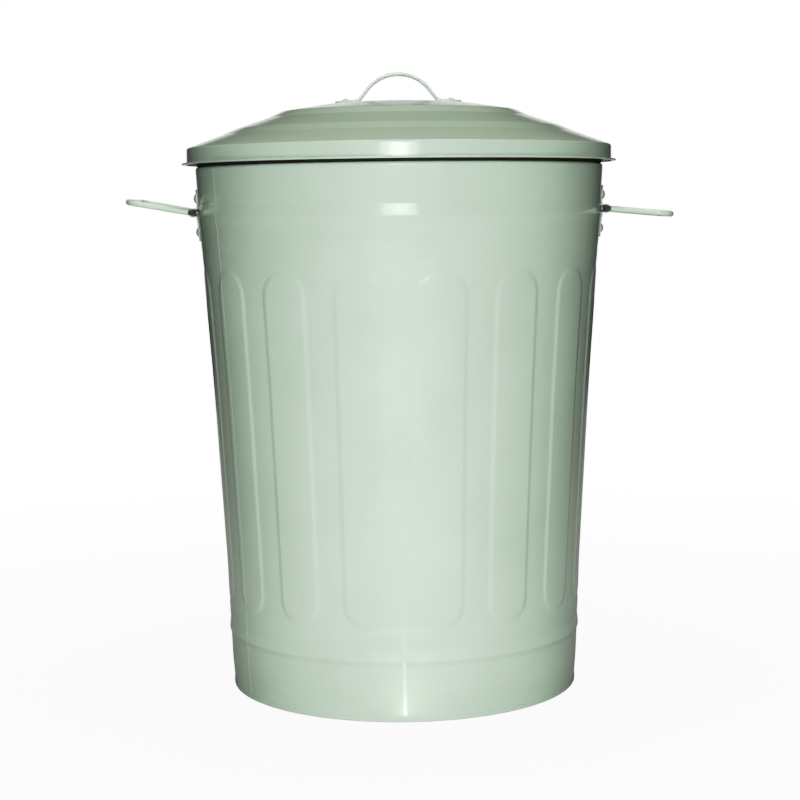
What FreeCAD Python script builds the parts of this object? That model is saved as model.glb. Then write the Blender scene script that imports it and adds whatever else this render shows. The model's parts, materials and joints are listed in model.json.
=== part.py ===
"""Tapered sheet-steel dustbin with a loose stepped lid and two wire bail handles.

Millimetres, +Z up, origin on the floor at the centre of the base.
The front of the bin faces -Y and the bail handles stand out along -X and +X.
"""
import FreeCAD, Part
import math
import os
import re

import Sketcher
from FreeCAD import Placement, Rotation, Vector

AXIS_X, AXIS_Y, AXIS_Z = Vector(1, 0, 0), Vector(0, 1, 0), Vector(0, 0, 1)
ORIGIN = Vector(0, 0, 0)

SIZES = {
    # sheet and the plain cone of the wall
    "sheet_metal": 0.6, "foot_radius": 192.9, "taper": 0.0556, "wall_bottom": 0.9,
    # rim rolled inward over a wire
    "rim_top": 577.5, "rim_radius": 224.8, "curl_radius": 3.4, "wire_radius": 2.5,
    # swaged bead under the rim
    "upper_bead_top": 536.0, "upper_bead_apex": 523.0, "upper_bead_end": 510.0, "upper_bead_rise": 1.4,
    # swaged bead above the foot, and the slightly smaller wall below it
    "lower_bead_top": 81.0, "lower_bead_apex": 67.0, "lower_bead_end": 61.0, "lower_bead_rise": 1.0,
    "foot_step": 0.7,
    # fluted belt: the wall between the flutes sinks in, the flutes stand proud of it
    "waist_top": 488.0, "waist_full_top": 432.0, "waist_full_end": 130.0, "waist_end": 88.0,
    "waist_depth": 4.2, "flute_count": 16, "flute_rise": 2.2, "flute_half_angle": 6.4,
    "flute_top": 468.0, "flute_end": 98.0,
    # base pan with a channel folded round the foot of the wall
    "pan_floor": 10.0, "fold_height": 4.8, "fold_gap": 0.1,
    # lid
    "lid_bottom": 580.0, "flange_radius": 239.6, "flange_thick": 1.8, "skirt_radius": 234.2,
    "skirt_top": 597.6, "first_cone_radius": 195.5, "first_cone_top": 611.6,
    "first_step_radius": 180.0, "first_step_top": 618.4, "second_cone_radius": 145.0,
    "second_cone_top": 630.0, "second_step_radius": 130.0, "second_step_top": 637.0,
    "crown_radius": 78.0, "crown_top": 645.0, "centre_radius": 36.0, "centre_top": 647.6,
    # locating ring inside the lid
    "ring_lip_radius": 216.6, "ring_lip_bottom": 566.0, "ring_seat": 577.8, "ring_riser_radius": 223.3,
    "ring_shelf": 590.0, "ring_weld_top": 595.0, "ring_weld_gap": 0.15,
    # strap handle on the lid
    "strap_width": 22.0, "strap_thick": 2.8, "strap_end": 69.5, "strap_knee": 43.0,
    "strap_top": 679.0, "strap_leg_angle": 52.0, "strap_knee_radius": 9.0, "strap_gap": 0.05,
    "strap_end_flat": 1.0,
    "lid_rivet_place": 58.5,
    # rivets
    "rivet_shank": 2.4, "rivet_hole": 2.7, "rivet_head": 6.2, "rivet_dome": 4.0, "rivet_tail": 4.4,
    "rivet_tail_high": 1.6, "lid_rivet_head": 4.6, "lid_rivet_dome": 2.4,
    # side brackets and bails
    "pivot_place": 226.8, "pivot_height": 528.0, "bail_wire": 3.1, "bail_play": 0.35,
    "bracket_thick": 1.5, "bracket_gap": 0.2, "bracket_top": 553.5, "bracket_end": 497.0,
    "bracket_angle": 13.0,
    "bracket_corner": 8.0, "bracket_crest": 6.2, "upper_rivet": 543.5, "lower_rivet": 506.5,
    "bail_reach": 69.0, "bail_root": 40.0, "bail_tip": 62.0, "bail_root_bend": 10.0,
    "bail_tip_bend": 14.0, "right_bail_rest": -5.5, "left_bail_rest": 10.5,
}

doc = FreeCAD.newDocument("dustbin")
sheet = doc.addObject("Spreadsheet::Sheet", "Sizes")


def fill_sheet():
    """Write one size to a row: its name, its value and its alias."""
    for row, (name, value) in enumerate(SIZES.items(), start=1):
        sheet.set(f"A{row}", name)
        sheet.set(f"B{row}", str(value))
        sheet.setAlias(f"B{row}", name)
    doc.recompute()


def size(name):
    """Value of a cell of the sheet, for shapes built in code."""
    return float(getattr(sheet, name))


def bound(text):
    """Turn size names in a formula into references to the sheet."""
    return re.sub(r"[a-z][a-z_]+", r"Sizes.\g<0>", text)


def new_body(label):
    body = doc.addObject("PartDesign::Body", label)
    body.Label = label
    return body


def new_sketch(body, name, plane):
    sketch = body.newObject("Sketcher::SketchObject", name)
    support = next(item for item in body.Origin.OriginFeatures if item.Role == plane)
    sketch.AttachmentSupport = (support, [""])
    sketch.MapMode = "FlatFace"
    return sketch


def pin_point(sketch, edge, end, across, up):
    """Fix one end of an edge at two formulas measured from the sketch origin."""
    for kind, axis, formula in (("DistanceX", -2, across), ("DistanceY", -1, up)):
        if formula == "0":
            sketch.addConstraint(Sketcher.Constraint("PointOnObject", edge, end, axis))
            continue
        index = sketch.addConstraint(Sketcher.Constraint(kind, -1, 1, edge, end, 1.0))
        sketch.setExpression(f"Constraints[{index}]", bound(formula))


def draw_outline(sketch, points):
    """Closed polygon whose corners are pairs of formulas."""
    count = len(points)
    starts = [Vector(10 + 7 * i, 5 * ((i * i) % 11), 0) for i in range(count)]
    for i in range(count):
        sketch.addGeometry(Part.LineSegment(starts[i], starts[(i + 1) % count]), False)
    for i in range(count):
        sketch.addConstraint(Sketcher.Constraint("Coincident", i, 2, (i + 1) % count, 1))
    for i, (across, up) in enumerate(points):
        pin_point(sketch, i, 1, across, up)


def draw_circle(sketch, across, up, radius):
    """Circle with its centre and radius given as formulas."""
    edge = sketch.addGeometry(Part.Circle(Vector(3, 4, 0), AXIS_Z, 2), False)
    pin_point(sketch, edge, 3, across, up)
    index = sketch.addConstraint(Sketcher.Constraint("Radius", edge, 2.0))
    sketch.setExpression(f"Constraints[{index}]", bound(radius))


def revolve(body, sketch, name, angle=None):
    """Turn a sketch about the body's Z axis, the whole way round or by an angle centred on it."""
    feature = body.newObject("PartDesign::Revolution", name)
    feature.Profile = sketch
    feature.ReferenceAxis = (sketch, ["V_Axis"])
    feature.Angle = 360
    if angle:
        feature.setExpression("Angle", bound(angle))
        feature.Midplane = True
    return feature


def cut_through(body, sketch, name, reverse=False, side="One side"):
    """Pocket through everything, checked by volume because a missed cut shows no error."""
    doc.recompute()
    before = body.Shape.Volume
    pocket = body.newObject("PartDesign::Pocket", name)
    pocket.Profile = sketch
    pocket.Type = "ThroughAll"
    pocket.Reversed = reverse
    pocket.SideType = side
    doc.recompute()
    if body.Shape.Volume >= before:
        raise RuntimeError(f"{body.Label}: {name} removes nothing")
    return pocket


def sheet_section(outer):
    """Close an outer line into a sheet section by stepping inwards by the sheet's thickness."""
    inner = [(f"{across} - sheet_metal", up) for across, up in reversed(outer)]
    return outer + inner


def cone(height):
    """Formula for the plain cone's radius at a height."""
    return f"foot_radius + taper * {height}"


def revolved_part(label, points):
    """Body made by one full turn of an outline."""
    body = new_body(label)
    sketch = new_sketch(body, f"{label}_section", "XZ_Plane")
    draw_outline(sketch, points)
    revolve(body, sketch, f"{label}_turn")
    return body


# ---------------------------------------------------------------- the can

def wall_line():
    """Outer line of the wall from its foot to the rim, as formulas."""
    return [
        (f"{cone('wall_bottom')} - foot_step", "wall_bottom"),
        (f"{cone('lower_bead_end')} - foot_step", "lower_bead_end"),
        (f"{cone('lower_bead_apex')} + lower_bead_rise", "lower_bead_apex"),
        (cone("lower_bead_top"), "lower_bead_top"),
        (cone("waist_end"), "waist_end"),
        (f"{cone('waist_full_end')} - waist_depth", "waist_full_end"),
        (f"{cone('waist_full_top')} - waist_depth", "waist_full_top"),
        (cone("waist_top"), "waist_top"),
        (cone("upper_bead_end"), "upper_bead_end"),
        (f"{cone('upper_bead_apex')} + upper_bead_rise", "upper_bead_apex"),
        (cone("upper_bead_top"), "upper_bead_top"),
        ("rim_radius", "rim_top - curl_radius"),
    ]


def belt_line():
    """Outer line of the wall between the flutes, over the height of the flutes, as numbers."""
    def cone_radius(height):
        return size("foot_radius") + size("taper") * height

    depth = size("waist_depth")
    line = [
        (cone_radius(size("waist_end")), size("waist_end")),
        (cone_radius(size("waist_full_end")) - depth, size("waist_full_end")),
        (cone_radius(size("waist_full_top")) - depth, size("waist_full_top")),
        (cone_radius(size("waist_top")), size("waist_top")),
    ]
    return line


def turned_layer(line, inner_offset, outer_offset):
    """Solid of revolution between two offsets of a line of (radius, height) points."""
    outer = [Vector(radius + outer_offset, 0, height) for radius, height in line]
    inner = [Vector(radius + inner_offset, 0, height) for radius, height in reversed(line)]
    wire = Part.makePolygon(outer + inner + outer[:1])
    return Part.Face(wire).revolve(ORIGIN, AXIS_Z, 360)


def flute_prism(half_angle, top, end):
    """Pill-shaped block that runs outwards along -Y and narrows with the cone."""
    slope = math.sin(math.radians(half_angle))
    foot, taper = size("foot_radius"), size("taper")
    upper = (foot + taper * top) * slope
    lower = (foot + taper * end) * slope
    high, low = top - upper, end + lower
    edges = [
        Part.LineSegment(Vector(-lower, 0, low), Vector(-upper, 0, high)),
        Part.Arc(Vector(-upper, 0, high), Vector(0, 0, top), Vector(upper, 0, high)),
        Part.LineSegment(Vector(upper, 0, high), Vector(lower, 0, low)),
        Part.Arc(Vector(lower, 0, low), Vector(0, 0, end), Vector(-lower, 0, low)),
    ]
    face = Part.Face(Part.Wire([edge.toShape() for edge in edges]))
    return face.extrude(Vector(0, -size("rim_radius") - size("flute_rise"), 0))


def ring_of(shape, count):
    """Copies of a shape round the axis, the first one half a step to the side of the front."""
    step = 360 / count
    return [shape.rotated(ORIGIN, AXIS_Z, step * (i + 0.5)) for i in range(count)]


def rivet_holes():
    """Drills through the wall at both brackets."""
    drills = []
    for height in ("upper_rivet", "lower_rivet"):
        start = Vector(-size("rim_radius") - 10, 0, size(height))
        drills.append(Part.makeCylinder(size("rivet_hole"), 2 * size("rim_radius") + 20, start, AXIS_X))
    return drills


def make_wall():
    """Tapered wall with rolled rim and swaged beads, then hollow flutes pressed out of it."""
    blank = revolved_part("wall_blank", sheet_section(wall_line()))
    curl = new_sketch(blank, "rim_curl_section", "XZ_Plane")
    draw_circle(curl, "rim_radius - curl_radius", "rim_top - curl_radius", "curl_radius")
    draw_circle(curl, "rim_radius - curl_radius", "rim_top - curl_radius", "curl_radius - sheet_metal")
    revolve(blank, curl, "rim_curl")
    doc.recompute()

    rise, metal = size("flute_rise"), size("sheet_metal")
    top, end, half = size("flute_top"), size("flute_end"), size("flute_half_angle")
    inset = math.degrees(metal / size("foot_radius"))
    skin = turned_layer(belt_line(), -metal / 2, rise).common(flute_prism(half, top, end))
    inside = turned_layer(belt_line(), -2 * metal, rise - metal)
    hollow = inside.common(flute_prism(half - inset, top - metal, end + metal))
    count = int(size("flute_count"))

    shape = blank.Shape.multiFuse(ring_of(skin, count))
    shape = shape.cut(ring_of(hollow, count))
    shape = shape.cut(rivet_holes())
    wall = doc.addObject("Part::Feature", "body_wall")
    wall.Label = "body_wall"
    wall.Shape = shape.Solids[0] if len(shape.Solids) == 1 else shape
    wall.Placement = Placement()
    return wall


def make_rim_wire():
    body = new_body("rim_wire")
    sketch = new_sketch(body, "rim_wire_section", "XZ_Plane")
    draw_circle(sketch, "rim_radius - curl_radius", "rim_top - curl_radius", "wire_radius")
    revolve(body, sketch, "rim_wire_turn")
    return body


def make_base_pan():
    """Raised floor whose edge turns down, under the foot of the wall and up outside it."""
    foot = f"{cone('wall_bottom')} - foot_step"
    crest = f"{cone('fold_height')} - foot_step + fold_gap"
    inside = f"{foot} - sheet_metal - fold_gap"
    return revolved_part("base_pan", [
        ("0", "pan_floor"),
        (inside, "pan_floor"),
        (inside, "wall_bottom - fold_gap"),
        (crest, "wall_bottom - fold_gap"),
        (crest, "fold_height"),
        (f"{crest} + sheet_metal", "fold_height"),
        (f"{crest} + sheet_metal", "0"),
        (f"{inside} - sheet_metal", "0"),
        (f"{inside} - sheet_metal", "pan_floor - sheet_metal"),
        ("0", "pan_floor - sheet_metal"),
    ])


# ---------------------------------------------------------------- the lid

def make_lid_shell():
    """Stepped cone with an upright skirt and a hemmed flange, drilled for the strap handle."""
    metal = "sheet_metal"
    line = [
        ("skirt_radius", "skirt_top"),
        ("first_cone_radius", "first_cone_top"),
        ("first_step_radius", "first_step_top"),
        ("second_cone_radius", "second_cone_top"),
        ("second_step_radius", "second_step_top"),
        ("crown_radius", "crown_top"),
        ("centre_radius", "centre_top"),
        ("0", "centre_top"),
    ]
    under = [(across, f"{up} - {metal}") for across, up in reversed(line[1:])]
    outline = [
        (f"skirt_radius - {metal}", "lid_bottom"),
        ("flange_radius", "lid_bottom"),
        ("flange_radius", "lid_bottom + flange_thick"),
        ("skirt_radius", "lid_bottom + flange_thick"),
    ]
    outline += line + under + [(f"skirt_radius - {metal}", f"skirt_top - {metal} * 0.7")]
    body = revolved_part("lid_shell", outline)
    holes = new_sketch(body, "lid_rivet_holes", "XY_Plane")
    draw_circle(holes, "lid_rivet_place", "0", "rivet_hole")
    draw_circle(holes, "-lid_rivet_place", "0", "rivet_hole")
    cut_through(body, holes, "lid_rivet_pocket", reverse=True)
    return body


def make_locating_ring():
    """Ring spot-welded in the skirt: its lip centres the lid and its shelf sits on the rim."""
    lip, riser, weld = "ring_lip_radius", "ring_riser_radius", "skirt_radius - sheet_metal - ring_weld_gap"
    return revolved_part("lid_locating_ring", [
        (lip, "ring_lip_bottom"),
        (lip, "ring_seat"),
        (riser, "ring_seat"),
        (riser, "ring_shelf - sheet_metal"),
        (weld, "ring_shelf - sheet_metal"),
        (weld, "ring_weld_top"),
        (f"{weld} - sheet_metal", "ring_weld_top"),
        (f"{weld} - sheet_metal", "ring_shelf"),
        (f"{riser} - sheet_metal", "ring_shelf"),
        (f"{riser} - sheet_metal", "ring_seat + sheet_metal"),
        (f"{lip} - sheet_metal", "ring_seat + sheet_metal"),
        (f"{lip} - sheet_metal", "ring_lip_bottom"),
    ])


def crown_slope():
    """Fall of the lid's crown per millimetre outwards, under the feet of the strap."""
    drop = size("centre_top") - size("crown_top")
    return drop / (size("crown_radius") - size("centre_radius"))


def crown_height(radius):
    return size("centre_top") - crown_slope() * (radius - size("centre_radius"))


def tangent_arc(before, corner, after, radius):
    """Arc of a radius that rounds a corner between two straights."""
    back = (before - corner).normalize()
    ahead = (after - corner).normalize()
    half = back.getAngle(ahead) / 2
    reach = radius / math.tan(half)
    middle = corner + (back + ahead).normalize() * (radius / math.sin(half) - radius)
    return Part.Arc(corner + back * reach, middle, corner + ahead * reach)


def rounded_path(corners, radii, closed):
    """Straights through a list of corners, each corner with a radius rounded by an arc."""
    count = len(corners)
    arcs = {}
    for i, radius in enumerate(radii):
        if radius:
            arcs[i] = tangent_arc(corners[i - 1], corners[i], corners[(i + 1) % count], radius)
    path = []
    for i in range(count if closed else count - 1):
        following = (i + 1) % count
        start = arcs[i].EndPoint if i in arcs else corners[i]
        stop = arcs[following].StartPoint if following in arcs else corners[following]
        path.append(Part.LineSegment(start, stop))
        if following in arcs:
            path.append(arcs[following])
    return path


def strap_face(lift):
    """One long face of the strap as edges in its sketch, at a height above its underside."""
    slope, leg = math.atan(crown_slope()), math.radians(size("strap_leg_angle"))
    knee, end = size("strap_knee"), size("strap_end")
    foot_up = Vector(-math.sin(slope), math.cos(slope), 0)
    leg_way = Vector(math.cos(leg), math.sin(leg), 0)
    leg_up = Vector(-math.sin(leg), math.cos(leg), 0)
    knee_point = Vector(-knee, crown_height(knee) + size("strap_gap"), 0)
    mitre = (foot_up + leg_up).normalize() * (lift / math.cos((leg - slope) / 2))
    corner = knee_point + mitre
    start = Vector(-end, crown_height(end) + size("strap_gap"), 0) + foot_up * lift

    rise = size("strap_top") - size("strap_thick") - knee_point.y
    arch = (knee * math.sin(leg) - rise * math.cos(leg)) / (1 - math.cos(leg)) + lift
    peak = Vector(0, size("strap_top") - size("strap_thick") + lift, 0)
    touch = peak - Vector(0, arch, 0) + leg_up * arch
    bend = tangent_arc(start, corner, corner + leg_way * knee, size("strap_knee_radius") - lift)
    return start, bend, touch, peak


def flipped(point):
    return Vector(-point.x, point.y, 0)


def strap_edges(lift):
    """The whole face from the left end over the arch to the right end."""
    start, bend, touch, peak = strap_face(lift)
    first, last = bend.StartPoint, bend.EndPoint
    middle = bend.value((bend.FirstParameter + bend.LastParameter) / 2)
    return [
        Part.LineSegment(start, first),
        bend,
        Part.LineSegment(last, touch),
        Part.Arc(touch, peak, flipped(touch)),
        Part.LineSegment(flipped(touch), flipped(last)),
        Part.Arc(flipped(last), flipped(middle), flipped(first)),
        Part.LineSegment(flipped(first), flipped(start)),
    ]


def make_lid_handle():
    """Arched flat strap with rounded feet that follow the fall of the crown."""
    body = new_body("lid_handle")
    side = new_sketch(body, "lid_handle_side", "XZ_Plane")
    under, over = strap_edges(0), strap_edges(size("strap_thick"))
    ends = [
        Part.LineSegment(under[0].StartPoint, over[0].StartPoint),
        Part.LineSegment(under[-1].EndPoint, over[-1].EndPoint),
    ]
    for edge in under + over + ends:
        side.addGeometry(edge, False)
    pad = body.newObject("PartDesign::Pad", "lid_handle_strap")
    pad.Profile = side
    pad.SideType = "Symmetric"
    pad.setExpression("Length", bound("strap_width"))
    holes = new_sketch(body, "lid_handle_holes", "XY_Plane")
    draw_circle(holes, "lid_rivet_place", "0", "rivet_hole")
    draw_circle(holes, "-lid_rivet_place", "0", "rivet_hole")
    cut_through(body, holes, "lid_handle_drill", reverse=True)
    reach = size("strap_end") - 2
    round_edges(body, "lid_handle_ends", "strap_width / 2 - strap_end_flat",
                lambda edge: abs(edge.CenterOfMass.x) > reach and abs(edge.CenterOfMass.y) > 5)
    return body


def round_edges(body, name, radius, wanted):
    """Fillet the edges of a body that pass a test, with the radius as a formula."""
    doc.recompute()
    base = body.Tip
    names = [f"Edge{i}" for i, edge in enumerate(base.Shape.Edges, start=1) if wanted(edge)]
    fillet = body.newObject("PartDesign::Fillet", name)
    fillet.Base = (base, names)
    fillet.setExpression("Radius", bound(radius))
    doc.recompute()


# ---------------------------------------------------------------- rivets

def make_rivet(label, head, dome, grip, place):
    """Rivet with a domed head on its own XY plane, and its shank and flat tail below."""
    ball = f"(({head} ^ 2 + {dome} ^ 2) / (2 * {dome}))"
    cap = doc.addObject("Part::Sphere", f"{label}_head")
    cap.setExpression("Radius", bound(ball))
    cap.setExpression("Angle1", "asin(" + bound(f"({ball} - {dome}) / {ball}") + ")")
    cap.setExpression("Placement.Base.z", bound(f"{dome} - {ball}"))
    shank = doc.addObject("Part::Cylinder", f"{label}_shank")
    shank.setExpression("Radius", bound("rivet_shank"))
    shank.setExpression("Height", bound(f"{grip} + rivet_tail_high / 2 + {dome} / 2"))
    shank.setExpression("Placement.Base.z", bound(f"-({grip} + rivet_tail_high / 2)"))
    tail = doc.addObject("Part::Cylinder", f"{label}_tail")
    tail.setExpression("Radius", bound("rivet_tail"))
    tail.setExpression("Height", bound("rivet_tail_high"))
    tail.setExpression("Placement.Base.z", bound(f"-({grip} + rivet_tail_high)"))
    rivet = doc.addObject("Part::MultiFuse", label)
    rivet.Label = label
    rivet.Shapes = [cap, shank, tail]
    rivet.Placement = place
    return rivet


def make_lid_rivets():
    """Rivets through the feet of the strap, square to the crown."""
    place = size("lid_rivet_place")
    slope = math.atan(crown_slope())
    height = crown_height(place) + size("strap_gap") + size("strap_thick") / math.cos(slope)
    grip = "(strap_thick + strap_gap + sheet_metal)"
    rivets = []
    for name, way in (("left", -1), ("right", 1)):
        turn = Rotation(AXIS_Y, math.degrees(slope) * way)
        seat = Placement(Vector(way * place, 0, height), turn)
        label = f"lid_handle_rivet_{name}"
        rivets.append(make_rivet(label, "lid_rivet_head", "lid_rivet_dome", grip, seat))
    return rivets


def make_bracket_rivets():
    """Two rivets through each bracket, square to the tapered wall."""
    lean = math.degrees(math.atan(size("taper")))
    grip = "(bracket_thick + bracket_gap + sheet_metal)"
    rivets = []
    for name, way in (("left", -1), ("right", 1)):
        for level in ("upper", "lower"):
            height = size(f"{level}_rivet")
            wall = size("foot_radius") + size("taper") * height
            seat = Vector(way * (wall + size("bracket_gap") + size("bracket_thick")), 0, height)
            turn = Rotation(AXIS_Y, way * (90 + lean))
            label = f"{name}_bracket_rivet_{level}"
            rivets.append(make_rivet(label, "rivet_head", "rivet_dome", grip, Placement(seat, turn)))
    return rivets


# ---------------------------------------------------------------- side handles

def make_bracket(label, turn):
    """Saddle plate curved to the wall, with a channel open towards the wall for the bail."""
    body = new_body(label)
    section = new_sketch(body, f"{label}_section", "XZ_Plane")
    back = [
        (cone("bracket_top"), "bracket_top"),
        (cone("upper_bead_top"), "upper_bead_top"),
        (f"{cone('upper_bead_apex')} + upper_bead_rise", "upper_bead_apex"),
        (cone("upper_bead_end"), "upper_bead_end"),
        (cone("bracket_end"), "bracket_end"),
    ]
    inner = [(f"{across} + bracket_gap", up) for across, up in back]
    outer = [(f"{across} + bracket_gap + bracket_thick", up) for across, up in reversed(back)]
    draw_outline(section, inner + outer)
    revolve(body, section, f"{label}_plate", "bracket_angle")

    doc.recompute()
    ridge = new_sketch(body, f"{label}_ridge", "XZ_Plane")
    back_line = f"{cone('upper_bead_apex')} + upper_bead_rise + bracket_gap"
    crest = "pivot_place + bracket_crest"
    draw_outline(ridge, [
        (back_line, "pivot_height + bracket_crest + 3"),
        (back_line, "pivot_height - bracket_crest - 3"),
        (f"{back_line} + bracket_thick", "pivot_height - bracket_crest - 3"),
        (crest, "pivot_height - bracket_crest * 0.5"),
        (crest, "pivot_height + bracket_crest * 0.5"),
        (f"{back_line} + bracket_thick", "pivot_height + bracket_crest + 3"),
    ])
    revolve(body, ridge, f"{label}_saddle", "bracket_angle")

    bore = new_sketch(body, f"{label}_bore", "XZ_Plane")
    draw_circle(bore, "pivot_place", "pivot_height", "bail_wire + bail_play")
    cut_through(body, bore, f"{label}_channel", side="Symmetric")
    slot = new_sketch(body, f"{label}_slot", "XZ_Plane")
    draw_outline(slot, [
        ("pivot_place", "pivot_height - bail_wire - bail_play"),
        ("pivot_place", "pivot_height + bail_wire + bail_play"),
        ("foot_radius", "pivot_height + bail_wire + bail_play"),
        ("foot_radius", "pivot_height - bail_wire - bail_play"),
    ])
    cut_through(body, slot, f"{label}_mouth", side="Symmetric")

    holes = new_sketch(body, f"{label}_holes", "YZ_Plane")
    draw_circle(holes, "0", "upper_rivet", "rivet_hole")
    draw_circle(holes, "0", "lower_rivet", "rivet_hole")
    cut_through(body, holes, f"{label}_drill", reverse=True)

    edge_of_plate = size("foot_radius") * math.sin(math.radians(size("bracket_angle") / 2))
    top, end = size("bracket_top"), size("bracket_end")

    def at_corner(edge):
        middle = edge.CenterOfMass
        level = abs(middle.z - top) < 1 or abs(middle.z - end) < 1
        return level and edge.Length < 2 * size("bracket_thick") and abs(middle.y) > edge_of_plate

    round_edges(body, f"{label}_corners", "bracket_corner", at_corner)
    body.Placement = Placement(ORIGIN, Rotation(AXIS_Z, turn))
    return body


def make_bail(label, turn, rest):
    """Closed wire loop: a short root bar in the bracket, splayed sides and a longer grip bar."""
    body = new_body(label)
    root, tip, reach = size("bail_root"), size("bail_tip"), size("bail_reach")
    bends = [0, size("bail_root_bend"), size("bail_tip_bend")]
    bends += [size("bail_tip_bend"), size("bail_root_bend")]
    corners = [ORIGIN, Vector(0, root, 0), Vector(reach, tip, 0)]
    corners += [Vector(reach, -tip, 0), Vector(0, -root, 0)]
    path = new_sketch(body, f"{label}_path", "XY_Plane")
    for edge in rounded_path(corners, bends, closed=True):
        path.addGeometry(edge, False)
    section = new_sketch(body, f"{label}_section", "XZ_Plane")
    draw_circle(section, "0", "0", "bail_wire")
    doc.recompute()
    pipe = body.newObject("PartDesign::AdditivePipe", f"{label}_wire")
    pipe.Profile = section
    pipe.Spine = path
    doc.recompute()
    across, up = size("pivot_place"), size("pivot_height")
    seat = Rotation(AXIS_Z, turn).multVec(Vector(across, 0, up))
    body.Placement = Placement(seat, Rotation(AXIS_Z, turn) * Rotation(AXIS_Y, -size(rest)))
    return body


# ---------------------------------------------------------------- assembly

def check(parts):
    """Stop if any object failed or any sub-part is not a valid closed shape."""
    for item in doc.Objects:
        if any(word in item.State for word in ("Invalid", "Error")):
            raise RuntimeError(f"{item.Label} failed: {item.State}")
    for item in parts:
        shape = item.Shape
        if shape.isNull() or not shape.isValid() or not shape.Solids:
            raise RuntimeError(f"{item.Label} has no valid solid")


def main():
    fill_sheet()
    parts = [make_wall(), make_rim_wire(), make_base_pan()]
    parts += [make_lid_shell(), make_locating_ring(), make_lid_handle()]
    parts += make_lid_rivets() + make_bracket_rivets()
    for name, turn in (("left", 180), ("right", 0)):
        parts.append(make_bracket(f"{name}_bracket", turn))
        parts.append(make_bail(f"{name}_bail", turn, f"{name}_bail_rest"))
    doc.recompute()
    check(parts)
    os.makedirs("parts", exist_ok=True)
    for item in parts:
        item.Shape.exportStep(f"parts/{item.Label}.step")
        volume = item.Shape.Volume / 1000
        print(f"{item.Label}: {len(item.Shape.Solids)} solid, {volume:.1f} cm3")


main()
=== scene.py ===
"""Finish of a tapered sheet-steel dustbin with a stepped lid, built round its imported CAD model.

Metres, +Z up, origin on the floor at the centre of the base. The front faces -Y and the
bail handles stand out along -X and +X. Pressed sheet is modelled as a centreline with a
thickness, so corners are rounded and raw edges show the real sheet.
"""
import json
import math

import bmesh
import bpy
from mathutils import Matrix, Vector


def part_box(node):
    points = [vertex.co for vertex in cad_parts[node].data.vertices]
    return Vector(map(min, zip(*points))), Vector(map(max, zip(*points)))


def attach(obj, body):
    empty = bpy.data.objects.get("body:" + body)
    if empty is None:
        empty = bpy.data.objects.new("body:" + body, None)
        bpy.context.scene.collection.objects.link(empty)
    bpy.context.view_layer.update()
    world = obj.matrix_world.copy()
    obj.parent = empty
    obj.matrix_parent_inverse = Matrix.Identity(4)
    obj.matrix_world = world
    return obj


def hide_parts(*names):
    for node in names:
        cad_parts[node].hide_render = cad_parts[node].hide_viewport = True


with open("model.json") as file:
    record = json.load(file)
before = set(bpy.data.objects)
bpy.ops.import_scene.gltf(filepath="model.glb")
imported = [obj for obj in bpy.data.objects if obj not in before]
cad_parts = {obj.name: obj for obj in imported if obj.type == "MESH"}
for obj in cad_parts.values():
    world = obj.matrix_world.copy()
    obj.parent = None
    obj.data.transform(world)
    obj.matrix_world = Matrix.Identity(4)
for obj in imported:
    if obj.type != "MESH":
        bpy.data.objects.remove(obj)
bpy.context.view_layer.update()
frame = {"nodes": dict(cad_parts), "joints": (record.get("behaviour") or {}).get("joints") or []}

MM = 0.001

# ---------------------------------------------------------------- sizes

SHEET = 0.6 * MM
HALF_SHEET = SHEET / 2
WALL_TAPER = 0.0556
RIM_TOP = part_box("body_wall")[1].z
RIM_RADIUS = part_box("body_wall")[1].x
WALL_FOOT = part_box("body_wall")[0].z
WALL_STEP, CURL_STEP = 6 * MM, 1.0 * MM
CURL_RADIUS, CURL_TURN, CURL_STEPS = 3.4 * MM, math.radians(305), 32
FOOT_RADIUS = 192.9 * MM
FOOT_STEP = 0.7 * MM
FOOT_BEND = 30 * MM
FOLD_TOP, FOLD_GAP = 4.8 * MM, 0.1 * MM
PAN_FLOOR, PAN_CHANNEL = 10.0 * MM, 1.6 * MM
PAN_SIDES, LID_SIDES, RIVET_SIDES, WIRE_SIDES = 288, 360, 40, 28

BEAD_TOP, BEAD_APEX, BEAD_END, BEAD_RISE = 536 * MM, 523 * MM, 510 * MM, 1.4 * MM
LOW_BEAD_TOP, LOW_BEAD_APEX, LOW_BEAD_END = 76 * MM, 64.5 * MM, 59 * MM
LOW_BEAD_RISE, LOW_BEAD_DIP = 0.85 * MM, 0.9 * MM
BELT_TOP, BELT_END, BELT_ROW = 496 * MM, 84 * MM, 1.9 * MM
SHOULDER_DEPTH, SHOULDER_REACH = 0.5 * MM, 12 * MM
WAIST_DEPTH, WAIST_START, WAIST_REACH, WAIST_RETURN = 1.55 * MM, 470 * MM, 140 * MM, 62 * MM

FLUTES = 16
FLUTE_TOP, FLUTE_END, FLUTE_RISE = 470 * MM, 96 * MM, 1.0 * MM
FLUTE_OUTER, FLUTE_FLAT = math.radians(7.6), 0.78
FLUTE_LEAD_TOP, FLUTE_LEAD_END = 10 * MM, 6 * MM
FLUTE_FADE_TOP, FLUTE_FADE_END = 22 * MM, 14 * MM
SEAM_ANGLE, SEAM_HALF_WIDTH, SEAM_RISE = math.radians(209.4), 1.3 * MM, 0.3 * MM

LID_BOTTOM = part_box("lid_shell")[0].z
LID_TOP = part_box("lid_shell")[1].z
FLANGE_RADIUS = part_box("lid_shell")[1].x
SKIRT_RADIUS = 234.2 * MM
HEM_RADIUS, HEM_SETBACK, SKIRT_BEND = 0.6 * MM, 0.9 * MM, 0.9 * MM
LID_STEPS = [
    # in mm: radius, height above the lid's bottom edge, corner radius
    (234.2, 17.6, 2.2), (195.5, 31.6, 14), (180, 38.4, 9), (145, 50, 12), (130, 57, 9),
    (78, 65, 40), (36, 67.6, 30),
]

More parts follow.
